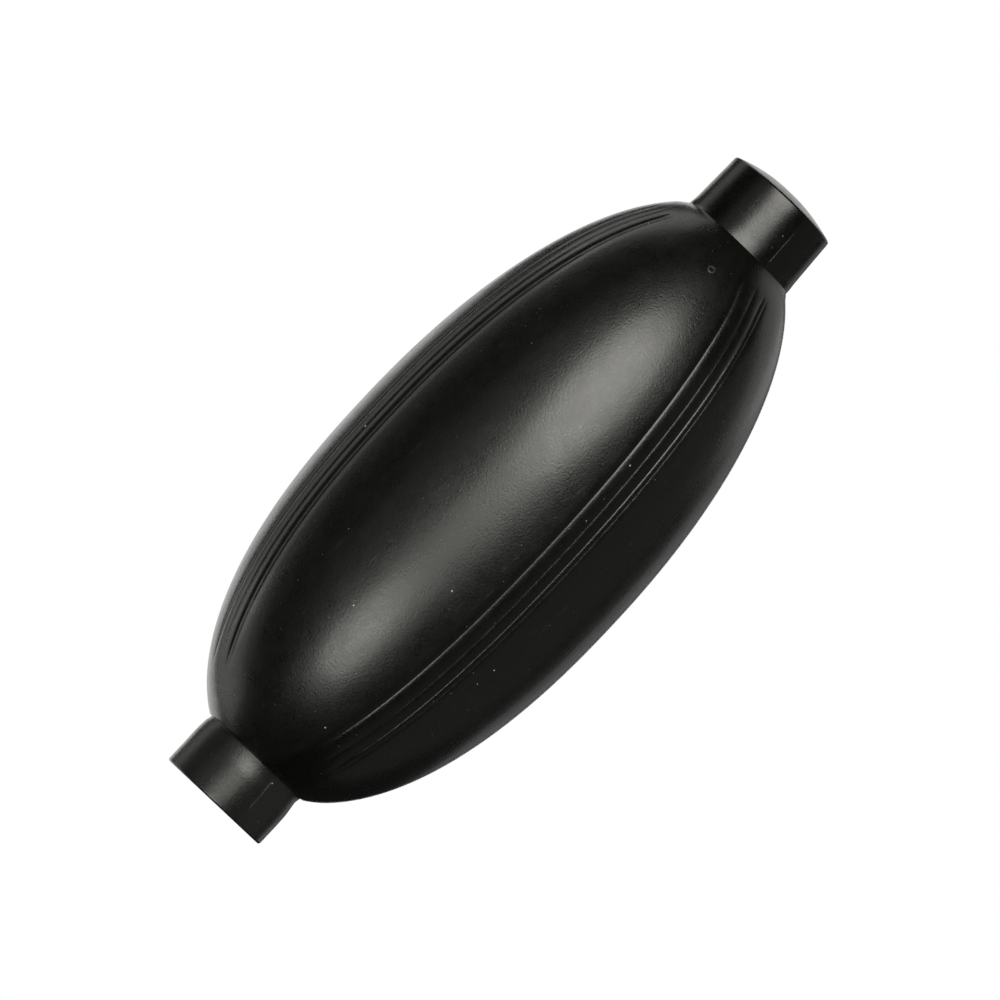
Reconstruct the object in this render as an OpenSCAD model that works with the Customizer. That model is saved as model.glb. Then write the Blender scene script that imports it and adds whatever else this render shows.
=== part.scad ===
// Siphon bulb pump: a rubber squeeze bulb with a one-way ball valve in each neck.
// The inlet end face stands on z = 0 and liquid is pumped along +Z.

/* [Bulb] */
// Diameter of the belly at its widest
bulb_d = 60; // [48:1:80]
// Length of the belly from the inlet neck to the widest place
inlet_side_l = 60; // [50:1:80]
// Length of the belly from the widest place to the outlet neck
outlet_side_l = 64.4; // [50:1:85]
// Fullness of the belly towards the inlet, where 2 is an ellipse
inlet_fullness = 2.3; // [2:0.05:2.8]
// Fullness of the belly towards the outlet, where 2 is an ellipse
outlet_fullness = 2.15; // [2:0.05:2.8]
// Thickness of the belly's rubber
bulb_wall = 3.8; // [2.5:0.1:5]

/* [Inlet neck] */
// Length of the inlet neck
inlet_neck_l = 11; // [10:0.5:16]
// Diameter of the inlet neck
inlet_neck_d = 22.1; // [21.7:0.1:28]
// Diameter of the inlet neck's waist, where it meets the belly
inlet_waist_d = 21.5; // [21:0.1:26]
// Length of the hollowed stretch between the straight neck and the belly
inlet_waist_l = 4.6; // [2:0.2:7]
// Rounding of the inlet neck's end
inlet_rim_r = 0.8; // [0.3:0.1:1.5]

/* [Outlet neck] */
// Length of the outlet neck, without its crown
outlet_neck_l = 11.8; // [10:0.2:18]
// Diameter of the outlet neck at its end
outlet_neck_d = 22.5; // [21.6:0.1:28]
// Diameter of the outlet neck at the belly
outlet_root_d = 23.5; // [22:0.1:30]
// Height of the crown on the outlet neck's end
crown_rise = 1.95; // [0.8:0.05:3]

/* [Hose bores] */
// Diameter of the hose that the bores take
hose_d = 8; // [6:0.5:9]
// Depth that a hose goes into the inlet neck
inlet_hose_l = 10; // [8:0.5:11]
// Depth that a hose goes into the outlet neck
outlet_hose_l = 11.5; // [10:0.5:13]
// Diameter of the opening in the lip that stops a hose
stop_lip_d = 5.6; // [4.5:0.1:6]
// Thickness of the lip that stops a hose
stop_lip_t = 1.5; // [1:0.1:2.5]
// Rounding of a bore's mouth
mouth_r = 0.5; // [0.2:0.1:1]

/* [Valve sockets] */
// Thickness of the rubber round a valve, inside the belly
socket_wall = 3.2; // [2.4:0.1:4.5]
// Length of the inlet valve that stands out of its socket, into the belly
inlet_valve_bare_l = 5; // [3:0.5:8]
// Thickness of the lip that holds the outlet valve in its socket
keeper_t = 1.6; // [1:0.1:3]
// Diameter of the opening in that lip
keeper_d = 12; // [9:0.5:14]

/* [Grip grooves] */
// Number of groove groups round the belly
groove_groups = 4; // [2:1:8]
// Number of grooves in a group
grooves_per_group = 3; // [1:1:5]
// Distance between the grooves of a group
groove_pitch = 2.7; // [2:0.1:4]
// Width of a groove
groove_w = 1; // [0.6:0.1:1.6]
// Depth of a groove
groove_depth = 0.4; // [0.2:0.05:0.8]
// Height of the grooves' lower ends above the inlet neck's root
groove_start = 6.5; // [5:0.5:20]
// Distance of the grooves' upper ends below the outlet neck's root
groove_stop = 4.6; // [4:0.5:20]
// Length over which a groove runs out at each end
groove_runout = 6; // [3:0.5:12]

/* [Valve body] */
// Outer diameter of the valve's sleeve
sleeve_d = 15; // [14:0.1:16]
// Bore of the valve's sleeve
sleeve_bore_d = 11; // [10.6:0.1:11.4]
// Thickness of the sleeve's floor
sleeve_floor = 2; // [1.5:0.1:3]
// Diameter of the opening in the sleeve's floor
floor_port_d = 4.8; // [4.4:0.1:6]
// Diameter of the sleeve's collar
collar_d = 17.4; // [16.8:0.1:18]
// Width of the sleeve's collar
collar_w = 2.5; // [1.5:0.1:3]
// Length of the sleeve beyond the snap ring
sleeve_end_l = 1.2; // [0.8:0.1:2]
// Height of the body seal's groove above the sleeve's foot
body_seal_z = 8; // [6:0.5:12]
// Thickness of the body seal
body_seal_t = 1.2; // [0.8:0.1:1.3]

/* [Valve seat] */
// Diameter of the port in the seat ring
port_d = 4; // [3:0.1:4.3]
// Thickness of the seat ring under the seat seal
seat_floor = 1.4; // [1:0.1:2.5]
// Thickness of the seat seal
seat_seal_t = 1.2; // [0.9:0.1:1.3]
// Diameter of the seat seal, through the middle of its section
seat_seal_d = 6; // [5.4:0.1:6.2]

/* [Ball and spring] */
// Diameter of the ball
ball_d = 7; // [6.4:0.1:7.4]
// Height that the ball lifts
ball_lift = 2.5; // [1:0.1:3]
// Diameter of the spring, through the middle of its wire
spring_d = 4.8; // [4.2:0.1:5.2]
// Thickness of the spring's wire
wire_d = 0.35; // [0.25:0.05:0.45]
// Length of the spring with the valve shut
spring_l = 7; // [6:0.5:10]
// Number of turns in the spring
spring_turns = 5; // [3:1:6]

/* [Ball guide and cap] */
// Thickness of the guide's wall
guide_wall = 0.7; // [0.5:0.05:0.9]
// Number of the guide's ribs
guide_ribs = 4; // [3:1:6]
// Width of a guide rib
guide_rib_w = 1.2; // [0.8:0.1:1.6]
// Thickness of the guide's foot, which traps the seat seal
guide_foot_t = 0.6; // [0.4:0.1:0.8]
// Thickness of the spring cap
cap_t = 1.4; // [1:0.1:2]
// Width of the cap's rim
cap_rim_w = 0.8; // [0.6:0.1:1]
// Draft of the rim's inner wall, outwards per millimetre of height
cap_draft = 0.04; // [0.02:0.01:0.1]
// Number of the cap's arms
cap_arms = 4; // [3:1:6]
// Width of a cap arm
cap_arm_w = 1.4; // [1:0.1:2]
// Diameter of the stem that stops the ball
stem_d = 2.8; // [2:0.1:3.4]

/* [Snap ring] */
// Thickness of the snap ring
snap_t = 0.9; // [0.6:0.1:1.2]
// Depth that the snap ring stands in the sleeve's wall
snap_hold = 0.6; // [0.4:0.05:0.8]
// Width of the snap ring
snap_w = 1.2; // [0.9:0.1:1.4]
// Opening between the snap ring's ends, in degrees
snap_gap = 50; // [30:5:70]
// Diameter of the lugs on the snap ring's ends
snap_lug_d = 2.2; // [1.8:0.1:2.4]

/* [Fits] */
// Radial clearance between pieces that are pushed together
fit = 0.05; // [0.02:0.01:0.1]
// Clearance between the ball and its seal when shut
seal_gap = 0.03; // [0.02:0.01:0.1]
// Radial clearance between the ball and its guide
guide_gap = 0.25; // [0.15:0.05:0.4]
// Clearance between the lifted ball and the stem
stop_gap = 0.15; // [0.1:0.05:0.3]

/* [Hidden] */

$fn = 96;
ROUND_STEPS = 6;    // points on a small rounding
BELLY_STEPS = 22;   // points on each half of the belly's outline
CROWN_STEPS = 8;    // points on the crown's arc
WAIST_STEPS = 5;    // points on the inlet neck's waist
WIRE_SIDES = 6;
RINGS_PER_TURN = 8;
OVER = 1;           // how far a cutter runs past what it cuts

// Heights along the pump
inlet_root_z = inlet_neck_l;
belly_z = inlet_root_z + inlet_side_l;
outlet_root_z = belly_z + outlet_side_l;
outlet_rim_z = outlet_root_z + outlet_neck_l;
top_z = outlet_rim_z + crown_rise;
bulb_r = bulb_d / 2;
crown_r = (pow(outlet_neck_d / 2, 2) + pow(crown_rise, 2)) / (2 * crown_rise);

// Heights inside a valve, above its foot
seat_seal_z = sleeve_floor + seat_floor + seat_seal_t / 2;
seat_top_z = sleeve_floor + seat_floor + seat_seal_t;
ball_z = seat_seal_z + sqrt(pow(ball_d / 2 + seat_seal_t / 2 + seal_gap, 2) - pow(seat_seal_d / 2, 2));
spring_foot_z = ball_z + sqrt(pow(ball_d / 2 + wire_d / 2 + seal_gap, 2) - pow(spring_d / 2, 2));
cap_z = spring_foot_z + spring_l + wire_d / 2 + seal_gap;
snap_z = cap_z + cap_t;
sleeve_l = snap_z + snap_t + sleeve_end_l;
stem_z = ball_z + ball_d / 2 + ball_lift + stop_gap;

// Radii inside a valve
stack_r = sleeve_bore_d / 2 - fit;
guide_bore_r = stack_r - guide_wall;
guide_foot_r = seat_seal_d / 2 + seat_seal_t / 4;
snap_r = sleeve_bore_d / 2 + snap_hold;

// Places of the two valves and their sockets
inlet_valve_z = inlet_hose_l + stop_lip_t;
outlet_valve_z = top_z - outlet_hose_l - stop_lip_t - sleeve_l;
socket_r = sleeve_d / 2 + fit + socket_wall;
inlet_socket_z = inlet_valve_z + sleeve_l - inlet_valve_bare_l;
outlet_socket_z = outlet_valve_z - keeper_t;

// Half length of a belly half's full curve, which its neck cuts off at the root radius
function curve_l(side_l, root_r, fullness) =
    side_l / pow(1 - pow(root_r / bulb_r, fullness), 1 / fullness);

inlet_curve_l = curve_l(inlet_side_l, inlet_waist_d / 2, inlet_fullness);
outlet_curve_l = curve_l(outlet_side_l, outlet_root_d / 2, outlet_fullness);

// Point [radius, distance from the widest place] of a belly half at the curve's parameter
function belly_point(t, half_l, fullness) =
    [bulb_r * pow(cos(t), 2 / fullness), half_l * pow(sin(t), 2 / fullness)];

// The same point moved inwards, square to the curve
function inset_point(p, half_l, fullness, depth) =
    let (n = [pow(p.x / bulb_r, fullness - 1) / bulb_r, pow(p.y / half_l, fullness - 1) / half_l])
    p - depth * n / norm(n);

// Parameter of the belly's curve at its neck
function root_t(root_r, fullness) = acos(pow(root_r / bulb_r, fullness / 2));

// How much of a groove's depth there is at this height
function groove_share(z) =
    let (
        low = inlet_root_z + groove_start,
        high = outlet_root_z - groove_stop,
        edge = min(z - low, high - z) / groove_runout
    )
    edge <= 0 ? 0 : edge >= 1 ? 1 : sin(90 * edge);

// Outline of the belly from root to root, inset by a depth
function belly_outline(depth) = concat(
    [for (i = [BELLY_STEPS : -1 : 1])
        let (
            t = root_t(inlet_waist_d / 2, inlet_fullness) * i / BELLY_STEPS,
            p = inset_point(belly_point(t, inlet_curve_l, inlet_fullness), inlet_curve_l, inlet_fullness, depth)
        )
        [p.x, belly_z - p.y]],
    [[bulb_r - depth, belly_z]],
    [for (i = [1 : BELLY_STEPS])
        let (
            t = root_t(outlet_root_d / 2, outlet_fullness) * i / BELLY_STEPS,
            p = inset_point(belly_point(t, outlet_curve_l, outlet_fullness), outlet_curve_l, outlet_fullness, depth)
        )
        [p.x, belly_z + p.y]]
);

// The same outline, sunk by a groove's depth at each height and lifted clear where there is none
function groove_outline() = [for (p = belly_outline(0))
    let (share = groove_share(p.y))
    [p.x - groove_depth * share + (share == 0 ? groove_depth : 0), p.y]];

// Quarter round of radius r about a centre, from one angle to another
function arc_points(centre, r, from, to, steps) =
    [for (i = [0 : steps]) let (a = from + (to - from) * i / steps) centre + r * [cos(a), sin(a)]];

// Outline of the inlet neck: rounded end, straight stretch and waist
function inlet_neck_outline() = concat(
    [[0, 0]],
    arc_points([inlet_neck_d / 2 - inlet_rim_r, inlet_rim_r], inlet_rim_r, -90, 0, ROUND_STEPS),
    [for (i = [0 : WAIST_STEPS - 1])
        let (share = i / WAIST_STEPS)
        [inlet_neck_d / 2 - (inlet_neck_d - inlet_waist_d) / 2 * (1 - cos(180 * share)) / 2,
         inlet_root_z - inlet_waist_l * (1 - share)]]
);

// Outline of the outlet neck's crown, from the rim to the axis
function crown_outline() = [for (i = [0 : CROWN_STEPS])
    let (a = asin(outlet_neck_d / 2 / crown_r) * (1 - i / CROWN_STEPS))
    [crown_r * sin(a), top_z - crown_r + crown_r * cos(a)]];

// Rubber bulb: outer skin
module bulb_skin() {
    rotate_extrude()
        polygon(concat(inlet_neck_outline(), belly_outline(0), crown_outline()));
}

// Space inside the belly, before the valve sockets are put back into it
module belly_space() {
    inner = belly_outline(bulb_wall);
    rotate_extrude()
        polygon(concat([[0, inner[0].y]], inner, [[0, inner[len(inner) - 1].y]]));
}

// Rubber that grips a valve, from the belly's end to the socket's mouth
module socket_block(from_z, to_z) {
    translate([0, 0, min(from_z, to_z)])
        cylinder(r = socket_r, h = abs(to_z - from_z));
}

// Pocket that a valve fills: the sleeve, its collar and the clearance round them
module valve_pocket() {
    cylinder(d = sleeve_d + 2 * fit, h = sleeve_l);
    cylinder(d = collar_d + 2 * fit, h = collar_w);
}

// Bore for a hose, from the mouth inwards along +Z, with its stop lip
module hose_bore(depth) {
    translate([0, 0, -OVER])
        cylinder(d = hose_d, h = depth + OVER);
    cylinder(d = stop_lip_d, h = depth + stop_lip_t + OVER);
    rotate_extrude()
        difference() {
            translate([0, -OVER])
                square([hose_d / 2 + mouth_r, mouth_r + OVER]);
            translate([hose_d / 2 + mouth_r, mouth_r])
                circle(r = mouth_r);
        }
}

// Cutter for one group of grooves, centred on the -Y side
module groove_group() {
    low = inlet_root_z + groove_start;
    high = outlet_root_z - groove_stop;
    cut = groove_outline();
    difference() {
        for (i = [0 : grooves_per_group - 1])
            translate([(i - (grooves_per_group - 1) / 2) * groove_pitch - groove_w / 2, -bulb_r - OVER, low])
                cube([groove_w, bulb_r + OVER, high - low]);
        rotate_extrude()
            polygon(concat([[0, cut[0].y]], cut, [[0, cut[len(cut) - 1].y]]));
    }
}

module bulb() {
    color([0.06, 0.06, 0.06])
        difference() {
            bulb_skin();
            difference() {
                belly_space();
                socket_block(0, inlet_socket_z);
                socket_block(outlet_socket_z, top_z);
            }
            translate([0, 0, inlet_valve_z])
                valve_pocket();
            translate([0, 0, outlet_valve_z])
                valve_pocket();
            translate([0, 0, outlet_socket_z - OVER])
                cylinder(d = keeper_d, h = keeper_t + 2 * OVER);
            hose_bore(inlet_hose_l);
            translate([0, 0, top_z])
                mirror([0, 0, 1])
                    hose_bore(outlet_hose_l);
            for (i = [0 : groove_groups - 1])
                rotate([0, 0, i * 360 / groove_groups])
                    groove_group();
        }
}

module valve_body() {
    color([0.78, 0.62, 0.33])
        difference() {
            union() {
                cylinder(d = sleeve_d, h = sleeve_l);
                cylinder(d = collar_d, h = collar_w);
            }
            translate([0, 0, sleeve_floor])
                cylinder(d = sleeve_bore_d, h = sleeve_l);
            translate([0, 0, -OVER])
                cylinder(d = floor_port_d, h = sleeve_floor + 2 * OVER);
            translate([0, 0, snap_z])
                cylinder(r = snap_r + fit, h = snap_t);
            translate([0, 0, body_seal_z])
                difference() {
                    cylinder(d = sleeve_d + 2 * OVER, h = body_seal_t + 2 * fit);
                    cylinder(r = sleeve_d / 2 - body_seal_t, h = body_seal_t + 2 * fit);
                }
        }
}

module body_o_ring() {
    color([0.1, 0.1, 0.1])
        translate([0, 0, body_seal_z + body_seal_t / 2 + fit])
            rotate_extrude()
                translate([sleeve_d / 2 - body_seal_t / 2 + fit / 2, 0])
                    circle(d = body_seal_t, $fn = 32);
}

module seat_ring() {
    color([0.9, 0.9, 0.86])
        translate([0, 0, sleeve_floor])
            difference() {
                cylinder(r = stack_r, h = seat_floor + seat_seal_t);
                translate([0, 0, -OVER])
                    cylinder(d = port_d, h = seat_floor + seat_seal_t + 2 * OVER);
                translate([0, 0, seat_floor])
                    cylinder(d = seat_seal_d + seat_seal_t + 2 * fit, h = seat_seal_t + OVER);
            }
}

module seat_o_ring() {
    color([0.28, 0.16, 0.1])
        translate([0, 0, seat_seal_z])
            rotate_extrude()
                translate([seat_seal_d / 2, 0])
                    circle(d = seat_seal_t, $fn = 32);
}

module ball() {
    color([0.8, 0.81, 0.82])
        translate([0, 0, ball_z])
            sphere(d = ball_d);
}

// Centre of the wire at a turn count, with both ends run on straight for one wire thickness
function wire_path() =
    let (
        steps = spring_turns * RINGS_PER_TURN,
        r = spring_d / 2,
        coil = [for (i = [0 : steps])
            let (a = 360 * i / RINGS_PER_TURN)
            [r * cos(a), r * sin(a), spring_foot_z + spring_l * i / steps]],
        start = [0, -wire_d, 0],
        end = wire_d * [-sin(360 * spring_turns), cos(360 * spring_turns), 0]
    )
    concat([coil[0] + start], coil, [coil[steps] + end]);

// Direction of the wire at each point of its path
function wire_way(path, i) =
    let (d = path[min(i + 1, len(path) - 1)] - path[max(i - 1, 0)]) d / norm(d);

// Points of the wire's skin, one ring after another
function wire_points(path) = [for (i = [0 : len(path) - 1])
    let (
        way = wire_way(path, i),
        side = let (s = [path[i].x, path[i].y, 0] - ([path[i].x, path[i].y, 0] * way) * way) s / norm(s),
        up = cross(way, side)
    )
    for (k = [0 : WIRE_SIDES - 1])
        let (a = 360 * k / WIRE_SIDES)
        path[i] + wire_d / 2 * (side * cos(a) + up * sin(a))];

// Triangles of a tube with this many rings, and its two end caps
function tube_faces(rings) = concat(
    [for (i = [0 : rings - 2], k = [0 : WIRE_SIDES - 1], half = [0, 1])
        let (
            a = i * WIRE_SIDES + k,
            b = i * WIRE_SIDES + (k + 1) % WIRE_SIDES,
            c = a + WIRE_SIDES,
            d = b + WIRE_SIDES
        )
        half == 0 ? [a, c, b] : [b, c, d]],
    [for (k = [1 : WIRE_SIDES - 2]) [0, k, k + 1]],
    [for (k = [1 : WIRE_SIDES - 2])
        let (last = (rings - 1) * WIRE_SIDES) [last, last + k + 1, last + k]]
);

// Least gap between the wire and itself, from the points of its path at least half a turn apart
function wire_gap(path) = min([for (i = [0 : len(path) - 1], j = [0 : len(path) - 1])
    if (j - i >= RINGS_PER_TURN / 2) norm(path[j] - path[i]) - wire_d]);

module spring() {
    path = wire_path();
    color([0.7, 0.72, 0.74])
        polyhedron(points = wire_points(path), faces = tube_faces(len(path)), convexity = 8);
    echo(least_gap_of_spring_mm = wire_gap(path));
}

module ball_guide() {
    rib_r = ball_d / 2 + guide_gap;
    color([0.93, 0.93, 0.9])
        translate([0, 0, seat_top_z])
            difference() {
                union() {
                    difference() {
                        cylinder(r = stack_r, h = cap_z - seat_top_z);
                        translate([0, 0, guide_foot_t])
                            cylinder(r = guide_bore_r, h = cap_z);
                    }
                    for (i = [0 : guide_ribs - 1])
                        rotate([0, 0, i * 360 / guide_ribs])
                            translate([0, -guide_rib_w / 2, 0])
                                cube([guide_bore_r + guide_wall / 2, guide_rib_w, cap_z - seat_top_z]);
                }
                translate([0, 0, -OVER])
                    cylinder(r = guide_foot_r, h = cap_z);
                translate([0, 0, guide_foot_t])
                    cylinder(r = rib_r, h = cap_z);
            }
}

module spring_cap() {
    window_r = stack_r - cap_rim_w;
    color([0.82, 0.83, 0.8])
        union() {
            translate([0, 0, cap_z]) {
                difference() {
                    cylinder(r = stack_r, h = cap_t);
                    translate([0, 0, -OVER])
                        cylinder(
                            r1 = window_r - cap_draft * OVER,
                            r2 = window_r + cap_draft * (cap_t + OVER),
                            h = cap_t + 2 * OVER
                        );
                }
                cylinder(d = spring_d + 2 * wire_d, h = cap_t);
                for (i = [0 : cap_arms - 1])
                    rotate([0, 0, i * 360 / cap_arms])
                        translate([0, -cap_arm_w / 2, 0])
                            cube([stack_r - cap_rim_w / 2, cap_arm_w, cap_t]);
            }
            translate([0, 0, stem_z])
                cylinder(d = stem_d, h = cap_z - stem_z + cap_t);
        }
}

module snap_ring() {
    lug_r = snap_r - snap_w / 2 - snap_lug_d / 4;
    color([0.45, 0.46, 0.48])
        translate([0, 0, snap_z])
            difference() {
                union() {
                    rotate([0, 0, snap_gap / 2])
                        rotate_extrude(angle = 360 - snap_gap)
                            translate([snap_r - snap_w, 0])
                                square([snap_w, snap_t]);
                    for (way = [-1, 1])
                        rotate([0, 0, way * snap_gap / 2])
                            translate([lug_r - snap_lug_d / 4, 0, 0])
                                cylinder(d = snap_lug_d, h = snap_t);
                }
                for (way = [-1, 1])
                    rotate([0, 0, way * snap_gap / 2])
                        translate([lug_r - snap_lug_d / 4, 0, -OVER])
                            cylinder(d = snap_lug_d / 2.4, h = snap_t + 2 * OVER);
            }
}

bulb();
translate([0, 0, inlet_valve_z]) valve_body();  // inlet_valve_body
translate([0, 0, inlet_valve_z]) body_o_ring();  // inlet_body_o_ring
translate([0, 0, inlet_valve_z]) seat_ring();  // inlet_seat_ring
translate([0, 0, inlet_valve_z]) seat_o_ring();  // inlet_seat_o_ring
translate([0, 0, inlet_valve_z]) ball();  // inlet_ball
translate([0, 0, inlet_valve_z]) spring();  // inlet_spring
translate([0, 0, inlet_valve_z]) ball_guide();  // inlet_ball_guide
translate([0, 0, inlet_valve_z]) spring_cap();  // inlet_spring_cap
translate([0, 0, inlet_valve_z]) snap_ring();  // inlet_snap_ring
translate([0, 0, outlet_valve_z]) valve_body();  // outlet_valve_body
translate([0, 0, outlet_valve_z]) body_o_ring();  // outlet_body_o_ring
translate([0, 0, outlet_valve_z]) seat_ring();  // outlet_seat_ring
translate([0, 0, outlet_valve_z]) seat_o_ring();  // outlet_seat_o_ring
translate([0, 0, outlet_valve_z]) ball();  // outlet_ball
translate([0, 0, outlet_valve_z]) spring();  // outlet_spring
translate([0, 0, outlet_valve_z]) ball_guide();  // outlet_ball_guide
translate([0, 0, outlet_valve_z]) spring_cap();  // outlet_spring_cap
translate([0, 0, outlet_valve_z]) snap_ring();  // outlet_snap_ring
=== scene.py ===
"""Siphon bulb pump: the finished look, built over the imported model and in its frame.

Metres. +Z runs along the pump, from the inlet to the outlet, and the inlet end stands on z = 0.
-Y goes through the middle of a group of grip grooves, on the mould's parting line.
"""

import logging
import math
from dataclasses import dataclass, field
from enum import Enum
from typing import Any, ClassVar, Iterable

import bmesh
import bpy
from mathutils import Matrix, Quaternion, Vector


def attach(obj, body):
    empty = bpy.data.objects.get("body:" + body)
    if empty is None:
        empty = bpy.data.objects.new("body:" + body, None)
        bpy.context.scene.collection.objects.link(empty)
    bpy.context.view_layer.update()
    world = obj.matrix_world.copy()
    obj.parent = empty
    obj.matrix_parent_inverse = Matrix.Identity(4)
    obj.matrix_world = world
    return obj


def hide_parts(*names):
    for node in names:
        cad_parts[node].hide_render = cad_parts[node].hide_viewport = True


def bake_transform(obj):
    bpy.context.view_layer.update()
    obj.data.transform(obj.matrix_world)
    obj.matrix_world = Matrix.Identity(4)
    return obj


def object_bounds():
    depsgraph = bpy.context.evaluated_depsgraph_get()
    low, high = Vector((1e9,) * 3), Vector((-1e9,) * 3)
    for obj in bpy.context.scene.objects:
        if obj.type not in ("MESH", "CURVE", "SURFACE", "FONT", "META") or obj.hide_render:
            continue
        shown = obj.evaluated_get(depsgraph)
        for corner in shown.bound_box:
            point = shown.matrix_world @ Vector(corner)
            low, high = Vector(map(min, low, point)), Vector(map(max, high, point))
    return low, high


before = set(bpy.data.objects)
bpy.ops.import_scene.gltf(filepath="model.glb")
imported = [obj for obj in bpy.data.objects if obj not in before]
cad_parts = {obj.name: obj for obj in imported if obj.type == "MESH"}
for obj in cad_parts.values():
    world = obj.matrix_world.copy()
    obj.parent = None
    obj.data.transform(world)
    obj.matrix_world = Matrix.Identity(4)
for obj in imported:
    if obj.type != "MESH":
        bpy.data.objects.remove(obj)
bounds_at_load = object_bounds()

log = logging.getLogger("siphon_bulb")

Colour = tuple[float, float, float]
Point = tuple[float, float]

MM = 0.001
NEARLY = 0.999
TINY = 1e-6
FULL_TURN = 2 * math.pi
UP = Vector((0, 0, 1))
WHITE = (1.0, 1.0, 1.0, 1.0)


# ---------------- shader maths


class Value:
    """An output of a shader node, on which arithmetic adds further nodes."""

    def __init__(self, graph: "Graph", socket: bpy.types.NodeSocket | None) -> None:
        """Wraps one output socket of the graph, or none on a node that has none."""
        self.graph = graph
        self.socket = socket

    def _math(self, operation: str, *terms: "Value | float") -> "Value":
        """Adds one Math node over the terms."""
        return self.graph.node("Math", {"operation": operation}, dict(enumerate(terms)))

    def __add__(self, other: "Value | float") -> "Value":
        """Sum."""
        return self._math("ADD", self, other)

    def __radd__(self, other: "Value | float") -> "Value":
        """Sum, with the plain number first."""
        return self._math("ADD", other, self)

    def __sub__(self, other: "Value | float") -> "Value":
        """Difference."""
        return self._math("SUBTRACT", self, other)

    def __rsub__(self, other: "Value | float") -> "Value":
        """Difference, with the plain number first."""
        return self._math("SUBTRACT", other, self)

    def __mul__(self, other: "Value | float") -> "Value":
        """Product."""
        return self._math("MULTIPLY", self, other)

    def __rmul__(self, other: "Value | float") -> "Value":
        """Product, with the plain number first."""
        return self._math("MULTIPLY", other, self)

    def __truediv__(self, other: "Value | float") -> "Value":
        """Quotient."""
        return self._math("DIVIDE", self, other)

    def __rtruediv__(self, other: "Value | float") -> "Value":
        """Quotient, with the plain number first."""
        return self._math("DIVIDE", other, self)

    def __gt__(self, other: "Value | float") -> "Value":
        """1 where this is the greater, else 0."""
        return self._math("GREATER_THAN", self, other)

    def __abs__(self) -> "Value":
        """Size without its sign."""
        return self._math("ABSOLUTE", self)

    def either(self, other: "Value") -> "Value":
        """The greater of the two values."""
        return self._math("MAXIMUM", self, other)

    def lesser(self, other: "Value") -> "Value":
        """The lesser of the two values."""
        return self._math("MINIMUM", self, other)

    def ramp(self, low: float, high: float) -> "Value":
        """Smooth step from 0 to 1.

        Args:
            low: Where the step is 0; it may be the greater of the two.
            high: Where the step is 1.

        Returns:
            The step.
        """
        turned = low > high
        step = self.graph.node(
            "MapRange",
            {"interpolation_type": "SMOOTHSTEP", "clamp": True},
            {"Value": self, "From Min": min(low, high), "From Max": max(low, high)},
        )
        return 1 - step if turned else step


@dataclass(frozen=True)
class Noise:
    """How a noise is made: lumps in a millimetre, finer layers, their strength, and stretch."""

    per_mm: float
    detail: float = 2
    rough: float = 0.5
    stretch: Colour = (1.0, 1.0, 1.0)


@dataclass(frozen=True)
class Specks:
    """How round specks are scattered: points in a millimetre, radii of the edge and core in
    millimetres, and the share of the points that hold a speck."""

    per_mm: float
    edge: float
    core: float
    share: float


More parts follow.
